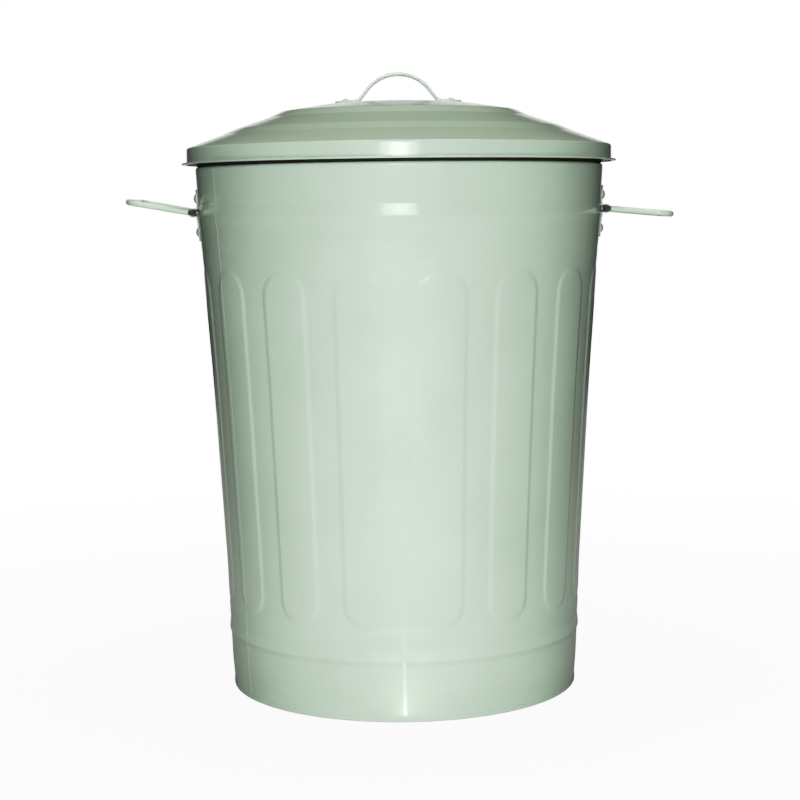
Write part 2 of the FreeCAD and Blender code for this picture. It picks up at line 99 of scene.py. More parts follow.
RING_LIP = 216.6 * MM
RING_RISER = 223.3 * MM
RING_BOTTOM, RING_SEAT, RING_SHELF, RING_TOP = 566 * MM, 577.8 * MM, 590 * MM, 595 * MM
RING_WELD_GAP = 0.15 * MM

STRAP_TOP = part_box("lid_handle")[1].z
STRAP_HALF_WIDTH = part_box("lid_handle")[1].y
STRAP_THICK, STRAP_END, STRAP_KNEE = 2.8 * MM, 69.5 * MM, 43 * MM
STRAP_LEG, STRAP_KNEE_RADIUS, STRAP_GAP = math.radians(52), 9 * MM, 0.05 * MM
STRAP_TIP, STRAP_EDGE, STRAP_ARC_STEPS = 1.0 * MM, 0.7 * MM, 24
LID_RIVET_PLACE = 58.5 * MM

PIVOT = Vector(next(j for j in frame["joints"] if j["name"] == "right_bail_swing")["pos_m"])
BAIL_WIRE, BAIL_PLAY = 3.1 * MM, 0.35 * MM
BAIL_CHAMFER, BAIL_BUTT = 0.6 * MM, 0.3 * MM
BAIL_REACH, BAIL_ROOT, BAIL_TIP = 69 * MM, 40 * MM, 62 * MM
BAIL_ROOT_BEND, BAIL_TIP_BEND = 10 * MM, 14 * MM
BAIL_REST = {"left": math.radians(10.5), "right": math.radians(-5.5)}
BRACKET_THICK, BRACKET_GAP = 1.5 * MM, 0.2 * MM
BRACKET_TOP, BRACKET_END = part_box("right_bracket")[1].z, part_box("right_bracket")[0].z
BRACKET_HALF_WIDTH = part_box("right_bracket")[1].y
BRACKET_CORNER, BRACKET_EDGE = 8 * MM, 0.45 * MM
BRACKET_BEND, BRACKET_CREASE, BRACKET_BLEND = 12 * MM, 1.3 * MM, 2.5 * MM
RIVET_LEVELS = {"upper": 543.5 * MM, "lower": 506.5 * MM}
LID_RIVET_HEAD, LID_RIVET_DOME = 4.6 * MM, 2.4 * MM
PLATE_RIVET_HEAD, PLATE_RIVET_DOME = 6.2 * MM, 4.0 * MM
RIVET_SINK, RIVET_SHANK, RIVET_TAIL, RIVET_TAIL_THICK = 0.12 * MM, 2.4 * MM, 4.4 * MM, 1.6 * MM


# ---------------------------------------------------------------- profiles

def wall_cone(height):
    """Radius of the plain cone of the wall at a height."""
    return FOOT_RADIUS + WALL_TAPER * height


def corner_arc(before, corner, after, radius, steps):
    """Points of the arc that rounds a corner, as flat vectors; a nearly straight corner stays."""
    nearly_straight = math.radians(89.5)
    back, ahead = before - corner, after - corner
    room = 0.49 * min(back.length, ahead.length)
    back, ahead = back.normalized(), ahead.normalized()
    half = back.angle(ahead) / 2
    if half > nearly_straight:
        return [corner]
    reach = min(radius / math.tan(half), room)
    radius = reach * math.tan(half)
    centre = corner + (back + ahead).normalized() * (radius / math.sin(half))
    start, stop = corner + back * reach - centre, corner + ahead * reach - centre
    sweep = start.angle(stop)
    points = []
    for i in range(steps + 1):
        share = i / steps
        arm = start * math.sin((1 - share) * sweep) + stop * math.sin(share * sweep)
        points.append(centre + arm / math.sin(sweep))
    return points


def rounded_line(corners, steps=6):
    """Open line through (x, y, corner radius) points with each inner corner rounded."""
    places = [Vector(c[:2]) for c in corners]
    line = [places[0]]
    for i in range(1, len(corners) - 1):
        line += corner_arc(places[i - 1], places[i], places[i + 1], corners[i][2], steps)
    return line + [places[-1]]


def line_normals(line):
    """Left-hand normal at each point of an open line."""
    normals = []
    for i in range(len(line)):
        along = line[min(i + 1, len(line) - 1)] - line[max(i - 1, 0)]
        normals.append(Vector((-along.y, along.x)).normalized())
    return normals


def sheet_loop(line, round_start=True, round_end=True):
    """Closed loop round the centreline of a sheet, with a bulging raw edge at each rounded end."""
    bulge = 0.7
    normals = line_normals(line)
    left = [p + n * HALF_SHEET for p, n in zip(line, normals)]
    right = [p - n * HALF_SHEET for p, n in zip(line, normals)]
    start_tip = line[0] - (line[1] - line[0]).normalized() * HALF_SHEET * bulge
    end_tip = line[-1] + (line[-1] - line[-2]).normalized() * HALF_SHEET * bulge
    loop = ([start_tip] if round_start else []) + left
    loop += ([end_tip] if round_end else []) + right[::-1]
    return loop


def densify(line, gap, low, high):
    """Extra points on a line so that no step is longer than a gap between two heights."""
    out = [line[0]]
    for a, b in zip(line, line[1:]):
        inside = low <= (a.y + b.y) / 2 <= high
        count = max(1, math.ceil((b - a).length / gap)) if inside else 1
        out += [a.lerp(b, i / count) for i in range(1, count + 1)]
    return out


# ---------------------------------------------------------------- meshes

def add_object(bm, name, material):
    """Turn a bmesh into an object in the scene."""
    mesh = bpy.data.meshes.new(name)
    bm.to_mesh(mesh)
    bm.free()
    mesh.materials.append(material)
    item = bpy.data.objects.new(name, mesh)
    bpy.context.scene.collection.objects.link(item)
    return item


def finish_mesh(bm, name, body, nodes, material, sharp=35):
    """Turn a bmesh into a smooth-shaded piece that rides on a body and stands for its CAD nodes."""
    bmesh.ops.recalc_face_normals(bm, faces=bm.faces)
    piece = add_object(bm, name, material)
    for polygon in piece.data.polygons:
        polygon.use_smooth = True
    piece.data.set_sharp_from_angle(angle=math.radians(sharp))
    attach(piece, body)
    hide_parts(*nodes)
    return piece


def skin_loops(bm, loops, closed_along):
    """Join rings of vertices that all have the same count, one ring to the next."""
    count = len(loops[0])
    last = len(loops) if closed_along else len(loops) - 1
    for i in range(last):
        a, b = loops[i], loops[(i + 1) % len(loops)]
        for k in range(count):
            corners = [a[k], a[(k + 1) % count], b[(k + 1) % count], b[k]]
            unique = list(dict.fromkeys(corners))
            if len(unique) > 2:
                bm.faces.new(unique)


def lathe(loop, angles):
    """Closed mesh from a loop of (radius, height) points turned through a list of angles."""
    on_axis = 1e-7
    bm = bmesh.new()
    poles = {i: bm.verts.new((0, 0, p.y)) for i, p in enumerate(loop) if p.x < on_axis}
    rings = []
    for angle in angles:
        ca, sa = math.cos(angle), math.sin(angle)
        rings.append([poles[i] if i in poles else bm.verts.new((p.x * ca, p.x * sa, p.y))
                      for i, p in enumerate(loop)])
    skin_loops(bm, rings, True)
    return bm


def full_turn(count):
    """Evenly spaced angles round a circle."""
    return [2 * math.pi * i / count for i in range(count)]


def loft(rings):
    """Closed mesh through rings of points, with a flat cap at each end."""
    bm = bmesh.new()
    loops = [[bm.verts.new(p) for p in ring] for ring in rings]
    skin_loops(bm, loops, False)
    bm.faces.new(loops[0])
    bm.faces.new(loops[-1])
    return bm


def strip_ring(half_width, half_thick, edge, across):
    """Offsets (across, through) round a flat strip's section, its edges rounded to a radius."""
    edge = min(edge, half_thick * 0.95, half_width * 0.95)
    ring = []
    for corner, (sx, sy) in enumerate([(1, -1), (1, 1), (-1, 1), (-1, -1)]):
        centre = Vector((sx * (half_width - edge), sy * (half_thick - edge)))
        first = math.radians(-90 + 90 * corner)
        for i in range(4):
            turn = first + math.radians(30 * i)
            ring.append(centre + Vector((math.cos(turn), math.sin(turn))) * edge)
        if corner in (1, 3):
            other = Vector((-centre.x, centre.y)) + Vector((0, sy * edge))
            here = ring[-1]
            ring += [here.lerp(other, i / across) for i in range(1, across)]
    return ring


# ---------------------------------------------------------------- the wall

def flute_columns():
    """Angles round the wall, closer together on the ramps of the flutes and at the seam."""
    shares = [0.12, 0.24, 0.36, 0.47, 0.57, 0.66, 0.73, 0.78,
              0.82, 0.86, 0.90, 0.94, 0.98, 1.03, 1.15, 1.3]
    period = 2 * math.pi / FLUTES
    offsets = sorted([0.0, period / 2] + [way * s * FLUTE_OUTER for s in shares for way in (1, -1)])
    front = -math.pi / 2
    angles = [front + period * (k + 0.5) + offset for k in range(FLUTES) for offset in offsets]
    width = SEAM_HALF_WIDTH / RIM_RADIUS
    angles += [SEAM_ANGLE + width * share for share in (-1.0, -0.6, -0.25, 0.25, 0.6, 1.0)]
    return sorted({round(angle % (2 * math.pi), 6) for angle in angles})


def soft_ramp(share):
    """From 0 to 1 along a straight ramp with rounded shoulders."""
    shoulder = 0.22
    share = min(max(share, 0.0), 1.0)
    steep = 1 / (1 - shoulder)
    if share < shoulder:
        return steep * share * share / (2 * shoulder)
    if share > 1 - shoulder:
        return 1 - steep * (1 - share) ** 2 / (2 * shoulder)
    return steep * (share - shoulder / 2)


def flute_share(height):
    """Share of the full flute depth at a height: it fades out towards both ends."""
    from_top = soft_ramp((FLUTE_TOP + FLUTE_LEAD_TOP - height) / FLUTE_FADE_TOP)
    from_end = soft_ramp((height - FLUTE_END + FLUTE_LEAD_END) / FLUTE_FADE_END)
    return from_top * from_end


def belt_offset(height):
    """Offset of the crests of the flutes from the plain cone, negative inwards."""
    shoulder = SHOULDER_DEPTH * soft_ramp((BELT_TOP - height) / SHOULDER_REACH)
    waist = WAIST_DEPTH * soft_ramp((WAIST_START - height) / WAIST_REACH)
    share = soft_ramp((height - BELT_END) / WAIST_RETURN)
    return -LOW_BEAD_DIP * (1 - share) - (shoulder + waist) * share


def flute_height(angle, height):
    """How far the wall stands proud at a point, for the round-ended flute nearest to it."""
    period = 2 * math.pi / FLUTES
    turn = (angle + math.pi / 2) % period - period / 2
    radius = wall_cone(height)
    half = FLUTE_OUTER * radius
    top, end = FLUTE_TOP - half, FLUTE_END + half
    beyond = max(height - top, end - height, 0.0)
    away = math.hypot(turn * radius, beyond) / half
    return FLUTE_RISE * flute_share(height) * soft_ramp((1 - away) / (1 - FLUTE_FLAT))


def seam_height(angle):
    """Low ridge of the vertical weld seam."""
    away = abs((angle - SEAM_ANGLE + math.pi) % (2 * math.pi) - math.pi) * RIM_RADIUS
    return SEAM_RISE * soft_ramp(1 - away / SEAM_HALF_WIDTH)


def wall_centreline():
    """Section of the wall between two flutes, from its foot to the end of the rim's curl."""
    def on_cone(height, offset, radius):
        return (wall_cone(height) + offset - HALF_SHEET, height, radius)

    lower = rounded_line([
        on_cone(WALL_FOOT, -FOOT_STEP, 0),
        on_cone(FOOT_BEND, 0, 30 * MM),
        on_cone(LOW_BEAD_END, -LOW_BEAD_DIP / 2, 2.5 * MM),
        on_cone(LOW_BEAD_APEX, LOW_BEAD_RISE, 3 * MM),
        on_cone(LOW_BEAD_TOP, -LOW_BEAD_DIP, 4 * MM),
        on_cone(BELT_END, -LOW_BEAD_DIP, 0),
    ])
    rows = round((BELT_TOP - BELT_END) / BELT_ROW)
    belt = []
    for i in range(1, rows):
        height = BELT_END + (BELT_TOP - BELT_END) * i / rows
        offset = belt_offset(height) - FLUTE_RISE * flute_share(height)
        belt.append(Vector(on_cone(height, offset, 0)[:2]))
    upper = rounded_line([
        on_cone(BELT_TOP, 0, 0),
        on_cone(BEAD_END, 0, 12 * MM),
        on_cone(BEAD_APEX, BEAD_RISE, 14 * MM),
        on_cone(BEAD_TOP, 0, 14 * MM),
        (RIM_RADIUS - HALF_SHEET, RIM_TOP - CURL_RADIUS, 0),
    ])
    line = densify(lower + belt + upper, WALL_STEP, 0, RIM_TOP)
    line = densify(line, CURL_STEP, RIM_TOP - 4 * CURL_RADIUS, RIM_TOP)
    centre = Vector((RIM_RADIUS - CURL_RADIUS, RIM_TOP - CURL_RADIUS))
    arm = CURL_RADIUS - HALF_SHEET
    for i in range(1, CURL_STEPS + 1):
        turn = CURL_TURN * i / CURL_STEPS
        line.append(centre + Vector((math.cos(turn), math.sin(turn))) * arm)
    return line


def make_wall(material):
    """Fluted wall with its beads, its weld seam and the rim curled over the core wire."""
    line = wall_centreline()
    normals = line_normals(line)
    angles = flute_columns()
    curl_start = RIM_TOP - CURL_RADIUS
    bm = bmesh.new()
    rings = []
    for angle in angles:
        ca, sa = math.cos(angle), math.sin(angle)
        seam = seam_height(angle)
        outer, inner = [], []
        for point, normal in zip(line, normals):
            proud = flute_height(angle, point.y) if FLUTE_END < point.y < FLUTE_TOP else 0.0
            ridge = seam if point.y < curl_start else 0.0
            for side, offset, extra in ((outer, -HALF_SHEET, ridge), (inner, HALF_SHEET, 0.0)):
                radius = point.x + normal.x * offset + proud + extra
                side.append(bm.verts.new((radius * ca, radius * sa, point.y + normal.y * offset)))
        rings.append(outer + inner[::-1])
    skin_loops(bm, rings, True)
    return finish_mesh(bm, "fluted_wall", "can", ["body_wall"], material, sharp=50)


def make_base(material):
    """Raised floor pressed from one sheet, folded round the foot of the wall."""
    foot = wall_cone(WALL_FOOT) - FOOT_STEP
    inside = foot - SHEET - FOLD_GAP - HALF_SHEET
    outside = wall_cone(FOLD_TOP) - FOOT_STEP + FOLD_GAP + HALF_SHEET
    line = rounded_line([
        (0, PAN_FLOOR - HALF_SHEET, 0),
        (inside * 0.86, PAN_FLOOR - HALF_SHEET, 6 * MM),
        (inside * 0.89, PAN_FLOOR - PAN_CHANNEL, 6 * MM),
        (inside, PAN_FLOOR - PAN_CHANNEL, 2.2 * MM),
        (inside, HALF_SHEET, 0.7 * MM),
        (outside, HALF_SHEET, 0.7 * MM),
        (outside, FOLD_TOP - 0.2 * MM, 0),
    ], steps=4)
    bm = lathe(sheet_loop(line, round_start=False), full_turn(PAN_SIDES))
    return finish_mesh(bm, "pressed_base", "can", ["base_pan"], material)


# ---------------------------------------------------------------- the lid

def make_lid(material):
    """Stepped cone with a skirt and a flange folded back under itself."""
    lower, upper = LID_BOTTOM + HALF_SHEET, LID_BOTTOM + HALF_SHEET + 2 * HEM_RADIUS
    corners = [
        (SKIRT_RADIUS + HEM_SETBACK, lower, 0),
        (FLANGE_RADIUS - HALF_SHEET, lower, HEM_RADIUS),
        (FLANGE_RADIUS - HALF_SHEET, upper, HEM_RADIUS),
        (SKIRT_RADIUS - HALF_SHEET, upper, SKIRT_BEND),
    ]
    for radius, rise, bend in LID_STEPS:
        inset = HALF_SHEET if radius * MM == SKIRT_RADIUS else 0
        corners.append((radius * MM - inset, LID_BOTTOM + rise * MM - HALF_SHEET, bend * MM))
    corners.append((0, LID_TOP - HALF_SHEET, 0))
    line = rounded_line(corners, steps=7)
    bm = lathe(sheet_loop(line, round_end=False), full_turn(LID_SIDES))
    return finish_mesh(bm, "stepped_lid", "lid", ["lid_shell"], material)


def make_ring(material):
    """Pressed ring in the skirt that sits on the rim and centres the lid."""
    weld, bend = SKIRT_RADIUS - SHEET - RING_WELD_GAP - HALF_SHEET, 1.2 * MM
    line = rounded_line([
        (RING_LIP - HALF_SHEET, RING_BOTTOM, 0),
        (RING_LIP - HALF_SHEET, RING_SEAT + HALF_SHEET, bend),
        (RING_RISER - HALF_SHEET, RING_SEAT + HALF_SHEET, bend),
        (RING_RISER - HALF_SHEET, RING_SHELF - HALF_SHEET, bend),
        (weld, RING_SHELF - HALF_SHEET, bend),
        (weld, RING_TOP, 0),
    ], steps=5)
    bm = lathe(sheet_loop(line), full_turn(PAN_SIDES))
    return finish_mesh(bm, "pressed_ring", "lid", ["lid_locating_ring"], material)


def crown_slope():
    """Fall of the crown per metre outwards under the feet of the strap."""
    (outer, low, _), (inner, high, _) = LID_STEPS[-2:]
    return (high - low) / (outer - inner)


def crown_height(radius):
    """Height of the lid's skin at a radius under the feet of the strap."""
    return LID_TOP - crown_slope() * (radius - LID_STEPS[-1][0] * MM)


def strap_centreline():
    """Middle of the strap's thickness as (x, z) points from the left foot to the right foot."""
    slope = math.atan(crown_slope())
    foot_up = Vector((-math.sin(slope), math.cos(slope)))
    leg_up = Vector((-math.sin(STRAP_LEG), math.cos(STRAP_LEG)))
    knee = Vector((-STRAP_KNEE, crown_height(STRAP_KNEE) + STRAP_GAP))
    lift = STRAP_THICK / 2
    mitre = (foot_up + leg_up).normalized() * (lift / math.cos((STRAP_LEG - slope) / 2))
    start = Vector((-STRAP_END, crown_height(STRAP_END) + STRAP_GAP)) + foot_up * lift
    rise = STRAP_TOP - STRAP_THICK - knee.y
    lean, stand = math.sin(STRAP_LEG), math.cos(STRAP_LEG)
    arch = (STRAP_KNEE * lean - rise * stand) / (1 - stand)
    middle = Vector((0, STRAP_TOP - STRAP_THICK - arch))
    arc = []
    for i in range(STRAP_ARC_STEPS + 1):
        turn = STRAP_LEG * (1 - i / STRAP_ARC_STEPS)
        arc.append(middle + Vector((-math.sin(turn), math.cos(turn))) * (arch + lift))
    knee_arc = corner_arc(start, knee + mitre, arc[0], STRAP_KNEE_RADIUS, 8)
    half = [start] + knee_arc + arc
    return half + [Vector((-p.x, p.y)) for p in half[-2::-1]]


def arc_lengths(line):
    """Distance along a line to each of its points."""
    total, lengths = 0.0, [0.0]
    for a, b in zip(line, line[1:]):
        total += (b - a).length
        lengths.append(total)
    return lengths


def refine_ends(line, reach, steps):
    """Add points near both ends of a line, closest together at the very ends."""
    spots = [reach * (1 - math.cos(math.pi / 2 * i / steps)) for i in range(1, steps + 1)]
    forward = (line[1] - line[0]).normalized()
    backward = (line[-2] - line[-1]).normalized()
    first = [line[0]] + [line[0] + forward * s for s in spots]
    last = [line[-1] + backward * s for s in reversed(spots)] + [line[-1]]
    return first + line[1:-1] + last


def end_outline(full, corner, distance):
    """Half width of a strip at a distance from its rounded end."""
    if distance >= corner:
        return full
    return full - corner + math.sqrt(max(corner ** 2 - (corner - distance) ** 2, 0))


def make_strap(material):
    """Arched strap with round ends and softened edges."""
    corner = STRAP_HALF_WIDTH - STRAP_TIP
    line = refine_ends(strap_centreline(), corner, 8)
    normals = line_normals(line)
    lengths = arc_lengths(line)
    rings = []
    for point, normal, length in zip(line, normals, lengths):
        half = end_outline(STRAP_HALF_WIDTH, corner, min(length, lengths[-1] - length))
        ring = strip_ring(half, STRAP_THICK / 2, STRAP_EDGE, 6)
        rings.append([(point.x + normal.x * q.y, q.x, point.y + normal.y * q.y) for q in ring])
    return finish_mesh(loft(rings), "strap_handle", "lid", ["lid_handle"],
                       material, sharp=40)


# ---------------------------------------------------------------- rivets

def rivet_loop(head, dome, grip):
    """Half section of a rivet: domed head, shank and flattened tail."""
    dome_steps = 10
    ball = (head ** 2 + dome ** 2) / (2 * dome)
    edge = math.asin(head / ball)
    loop = [Vector((0, dome))]
    for i in range(1, dome_steps + 1):
        turn = edge * i / dome_steps
        loop.append(Vector((ball * math.sin(turn), dome - ball + ball * math.cos(turn))))
    loop += rounded_line([
        (head, -RIVET_SINK, 0),
        (RIVET_SHANK, -RIVET_SINK, 0.2 * MM),
        (RIVET_SHANK, -grip, 0.2 * MM),
        (RIVET_TAIL, -grip, 0.3 * MM),
        (RIVET_TAIL, -grip - RIVET_TAIL_THICK, 0.7 * MM),
        (0, -grip - RIVET_TAIL_THICK, 0),
    ], steps=4)
    return loop


def make_rivet(name, node, body, head, dome, grip, seat, material):
    """Rivet whose head sits at the origin of the seat matrix and points along its Z."""
    bm = lathe(rivet_loop(head, dome, grip), full_turn(RIVET_SIDES))
    bmesh.ops.transform(bm, matrix=seat, verts=bm.verts)
    return finish_mesh(bm, name, body, [node], material, sharp=40)


def make_rivets(material):
    """Two rivets through the strap and the lid, and two through each bracket and the wall."""
    slope = math.atan(crown_slope())
    lift = STRAP_GAP + STRAP_THICK / math.cos(slope)
    lean = math.atan(WALL_TAPER)
    for side, way in (("left", -1), ("right", 1)):
        seat = Matrix.Translation((way * LID_RIVET_PLACE, 0, crown_height(LID_RIVET_PLACE) + lift))
        seat = seat @ Matrix.Rotation(slope * way, 4, "Y")
        grip = STRAP_THICK + STRAP_GAP + SHEET
        make_rivet(f"strap_rivet_{side}", f"lid_handle_rivet_{side}", "lid",
                   LID_RIVET_HEAD, LID_RIVET_DOME, grip, seat, material)
        for level, height in RIVET_LEVELS.items():
            place = wall_cone(height) + BRACKET_GAP + BRACKET_THICK
            seat = Matrix.Translation((way * place, 0, height))
            seat = seat @ Matrix.Rotation(way * (math.pi / 2 + lean), 4, "Y")
            grip = BRACKET_THICK + BRACKET_GAP + SHEET
            make_rivet(f"plate_rivet_{side}_{level}", f"{side}_bracket_rivet_{level}", "can",
                       PLATE_RIVET_HEAD, PLATE_RIVET_DOME, grip, seat, material)


# ---------------------------------------------------------------- side handles

def bracket_centreline():
    """Section of a bracket from its top edge, over the wire, to its lower edge."""
    lift = BRACKET_GAP + BRACKET_THICK / 2
    channel = BAIL_WIRE + BAIL_PLAY + BRACKET_THICK / 2
    crest = PIVOT.x + channel
    high, low = PIVOT.z + channel, PIVOT.z - channel
    bend = channel - 0.1 * MM

    def bead(height):
        """How far the wall's bead stands out at a height."""
        return BEAD_RISE * (1 - abs(height - BEAD_APEX) / (BEAD_TOP - BEAD_APEX))

    return rounded_line([
        (wall_cone(BRACKET_TOP) + lift, BRACKET_TOP, 0),
        (wall_cone(BEAD_TOP) + lift, BEAD_TOP, BRACKET_BEND),
        (wall_cone(high) + lift + bead(high), high, BRACKET_CREASE),
        (crest, high, bend),
        (crest, low, bend),
        (wall_cone(low) + lift + bead(low), low, BRACKET_CREASE),
        (wall_cone(BEAD_END) + lift, BEAD_END, BRACKET_BEND),
        (wall_cone(BRACKET_END) + lift, BRACKET_END, 0),
    ], steps=8)


def make_bracket(side, turn, material):
    """Saddle plate that follows the wall, with a straight channel pressed out over the wire."""
    line = refine_ends(bracket_centreline(), BRACKET_CORNER, 8)
    normals = line_normals(line)
    rings = []
    for point, normal in zip(line, normals):
        from_end = min(BRACKET_TOP - point.y, point.y - BRACKET_END)
        half = end_outline(BRACKET_HALF_WIDTH, BRACKET_CORNER, max(from_end, 0))
        plate = wall_cone(point.y) + BRACKET_GAP + BRACKET_THICK / 2 + BEAD_RISE
        straight = soft_ramp((point.x - plate) / BRACKET_BLEND)
        ring = []
        for q in strip_ring(half, BRACKET_THICK / 2, BRACKET_EDGE, 14):
            radius = point.x - normal.x * q.y
            curved = math.sqrt(radius ** 2 - q.x ** 2)
            ring.append((curved + (radius - curved) * straight, q.x, point.y - normal.y * q.y))
        rings.append(ring)
    bm = loft(rings)
    bmesh.ops.transform(bm, matrix=Matrix.Rotation(turn, 4, "Z"), verts=bm.verts)
    return finish_mesh(bm, f"saddle_plate_{side}", "can", [f"{side}_bracket"],
                       material, sharp=40)


def bail_route():
    """Centreline of the bent wire in its own plane, from one side of its butt joint to the other."""
    corners = [
        (0, BAIL_BUTT, 0),
        (0, BAIL_ROOT, BAIL_ROOT_BEND),
        (BAIL_REACH, BAIL_TIP, BAIL_TIP_BEND),
        (BAIL_REACH, -BAIL_TIP, BAIL_TIP_BEND),
        (0, -BAIL_ROOT, BAIL_ROOT_BEND),
        (0, -BAIL_BUTT, 0),
    ]
    return rounded_line(corners, steps=14)


def make_bail(side, turn, material):
    """Round wire bent to a loop, its two sawn ends meeting inside the bracket."""
    route = refine_ends(bail_route(), BAIL_CHAMFER, 3)
    normals = line_normals(route)
    lengths = arc_lengths(route)
    rings = []
    for point, normal, length in zip(route, normals, lengths):
        from_end = min(length, lengths[-1] - length)
        radius = end_outline(BAIL_WIRE, BAIL_CHAMFER, from_end)
        ring = []
        for around in full_turn(WIRE_SIDES):
            out = normal * math.cos(around) * radius
            ring.append((point.x + out.x, point.y + out.y, math.sin(around) * radius))
        rings.append(ring)
    bm = loft(rings)
    seat = Matrix.Rotation(turn, 4, "Z") @ Matrix.Translation(PIVOT)
    seat = seat @ Matrix.Rotation(-BAIL_REST[side], 4, "Y")
    bmesh.ops.transform(bm, matrix=seat, verts=bm.verts)
    return finish_mesh(bm, f"wire_bail_{side}", f"{side}_bail", [f"{side}_bail"],
                       material, sharp=40)


# ---------------------------------------------------------------- materials

def new_material(name):
    """New material with its nodes, its links and its shader."""
    material = bpy.data.materials.new(name)
    material.use_nodes = True
    nodes, links = material.node_tree.nodes, material.node_tree.links
    return material, nodes, links, nodes["Principled BSDF"]


def noise(nodes, links, coords, scale, detail, roughness=0.5):
    """Noise from 0 to 1 at a number of cells per metre."""
    node = nodes.new("ShaderNodeTexNoise")
    node.inputs["Scale"].default_value = scale
    node.inputs["Detail"].default_value = detail
    node.inputs["Roughness"].default_value = roughness
    links.new(coords, node.inputs["Vector"])
    return node.outputs["Fac"]


def ramp(nodes, links, source, stops):
    """Colour ramp with (position, colour) stops."""
    node = nodes.new("ShaderNodeValToRGB")
    elements = node.color_ramp.elements
    while len(elements) < len(stops):
        elements.new(0.5)
    for element, (position, colour) in zip(elements, stops):
        element.position = position
        element.color = (*colour, 1)
    links.new(source, node.inputs["Fac"])
    return node.outputs["Color"]


def mapped(nodes, links, source, low, high, to_low, to_high):
    """Value stretched from one range to another, and held inside the second."""
    node = nodes.new("ShaderNodeMapRange")
    for name, value in (("From Min", low), ("From Max", high), ("To Min", to_low), ("To Max", to_high)):
        node.inputs[name].default_value = value
    links.new(source, node.inputs["Value"])
    return node.outputs["Result"]


def mixed(nodes, links, share, first, second):
    """Mix of two colours, each given as a socket or as a value."""
    node = nodes.new("ShaderNodeMix")
    node.data_type = "RGBA"
    links.new(share, node.inputs["Factor"])
    for socket, value in ((node.inputs["A"], first), (node.inputs["B"], second)):
        if isinstance(value, tuple):
            socket.default_value = (*value, 1)
        else:
            links.new(value, socket)
    return node.outputs["Result"]


def bump(nodes, links, height, strength, distance, before=None):
    """Normal disturbed by a height, on top of an earlier bump where there is one."""
    node = nodes.new("ShaderNodeBump")
    node.inputs["Strength"].default_value = strength
    node.inputs["Distance"].default_value = distance
    links.new(height, node.inputs["Height"])
    if before:
        links.new(before, node.inputs["Normal"])
    return node.outputs["Normal"]


def scaled(colour, factor):
    """Colour made lighter or darker."""
    return tuple(channel * factor for channel in colour)


def grey(value):
    """Neutral colour."""
    return value, value, value


def aside_and_up(nodes, links, place):
    """Distance of a place to either side of the middle, and its height."""
    split = nodes.new("ShaderNodeSeparateXYZ")
    links.new(place, split.inputs[0])
    aside = nodes.new("ShaderNodeMath")
    aside.operation = "ABSOLUTE"
    links.new(split.outputs["X"], aside.inputs[0])
    return aside.outputs[0], split.outputs["Z"]


def hinge_painted_shade(nodes, links, place):
    """Share of near-black painted shade, standing in for the shadow in the channel: most at the hinge
    wire, none outside the channel pressed over it.
    """
    full_reach, end_reach, most = 3.2 * MM, 4.6 * MM, 0.88
    aside, height = aside_and_up(nodes, links, place)
    section = nodes.new("ShaderNodeCombineXYZ")
    links.new(aside, section.inputs["X"])
    links.new(height, section.inputs["Z"])
    reach = nodes.new("ShaderNodeVectorMath")
    reach.operation = "DISTANCE"
    links.new(section.outputs[0], reach.inputs[0])
    reach.inputs[1].default_value = (PIVOT.x, 0, PIVOT.z)
    return mapped(nodes, links, reach.outputs["Value"], full_reach, end_reach, most, 0.0)


def make_paint(name, colour, peel=1.0, hinge_shade=False):
    """Glossy powder coat: cloudy tint, fine flecks, orange peel, a little dust, and where asked a
    near-black painted shade round the hinge wire.

    Small pieces take less peel, which at full strength would break up their highlights.
    """
    material, nodes, links, shader = new_material(name)
    place = nodes.new("ShaderNodeTexCoord").outputs["Object"]
    clouds = noise(nodes, links, place, 9, 3)
    tint = ramp(nodes, links, clouds, [
        (0.30, scaled(colour, 0.955)), (0.52, colour), (0.72, scaled(colour, 1.03)),
    ])
    flecks = noise(nodes, links, place, 2600, 2)
    fleck_share = mapped(nodes, links, flecks, 0.62, 0.80, 0.0, 0.08)
    tint = mixed(nodes, links, fleck_share, tint, scaled(colour, 0.78))
    dust = noise(nodes, links, place, 150, 6, 0.7)
    dust_share = mapped(nodes, links, dust, 0.50, 0.85, 0.0, 0.06)
    tint = mixed(nodes, links, dust_share, tint, (0.80, 0.80, 0.76))
    if hinge_shade:
        # Painted shade: near-black colour round the hinge wire, in place of the shadow inside the
        # bracket's channel.
        tint = mixed(nodes, links, hinge_painted_shade(nodes, links, place), tint, (0.012, 0.012, 0.011))
    links.new(tint, shader.inputs["Base Color"])
    smears = noise(nodes, links, place, 22, 4, 0.6)
    links.new(mapped(nodes, links, smears, 0.3, 0.75, 0.38, 0.44), shader.inputs["Roughness"])
    coarse = noise(nodes, links, place, 210, 2)
    fine = noise(nodes, links, place, 620, 2)
    relief = bump(nodes, links, coarse, 0.45 * peel, 0.06 * MM)
    relief = bump(nodes, links, fine, 0.30 * peel, 0.03 * MM, relief)
    links.new(relief, shader.inputs["Normal"])
    links.new(relief, shader.inputs["Coat Normal"])
    shader.inputs["IOR"].default_value = 1.5
    shader.inputs["Specular IOR Level"].default_value = 0.25
    shader.inputs["Coat Weight"].default_value = 0.9
    shader.inputs["Coat Roughness"].default_value = 0.12
    return material


def make_dark_shade_coat(name, colour):
    """Near-black coat with a dry, slightly patchy surface, used as painted shade so the gap under the
    lid reads as a dark shadow line.
    """
    material, nodes, links, shader = new_material(name)
    place = nodes.new("ShaderNodeTexCoord").outputs["Object"]
    patches = noise(nodes, links, place, 45, 5, 0.6)
    tint = ramp(nodes, links, patches, [(0.35, scaled(colour, 0.8)), (0.65, scaled(colour, 1.3))])
    links.new(tint, shader.inputs["Base Color"])
    links.new(mapped(nodes, links, patches, 0.3, 0.7, 0.5, 0.7), shader.inputs["Roughness"])
    grain = noise(nodes, links, place, 1500, 2)
    links.new(bump(nodes, links, grain, 0.3, 0.03 * MM), shader.inputs["Normal"])
    return material


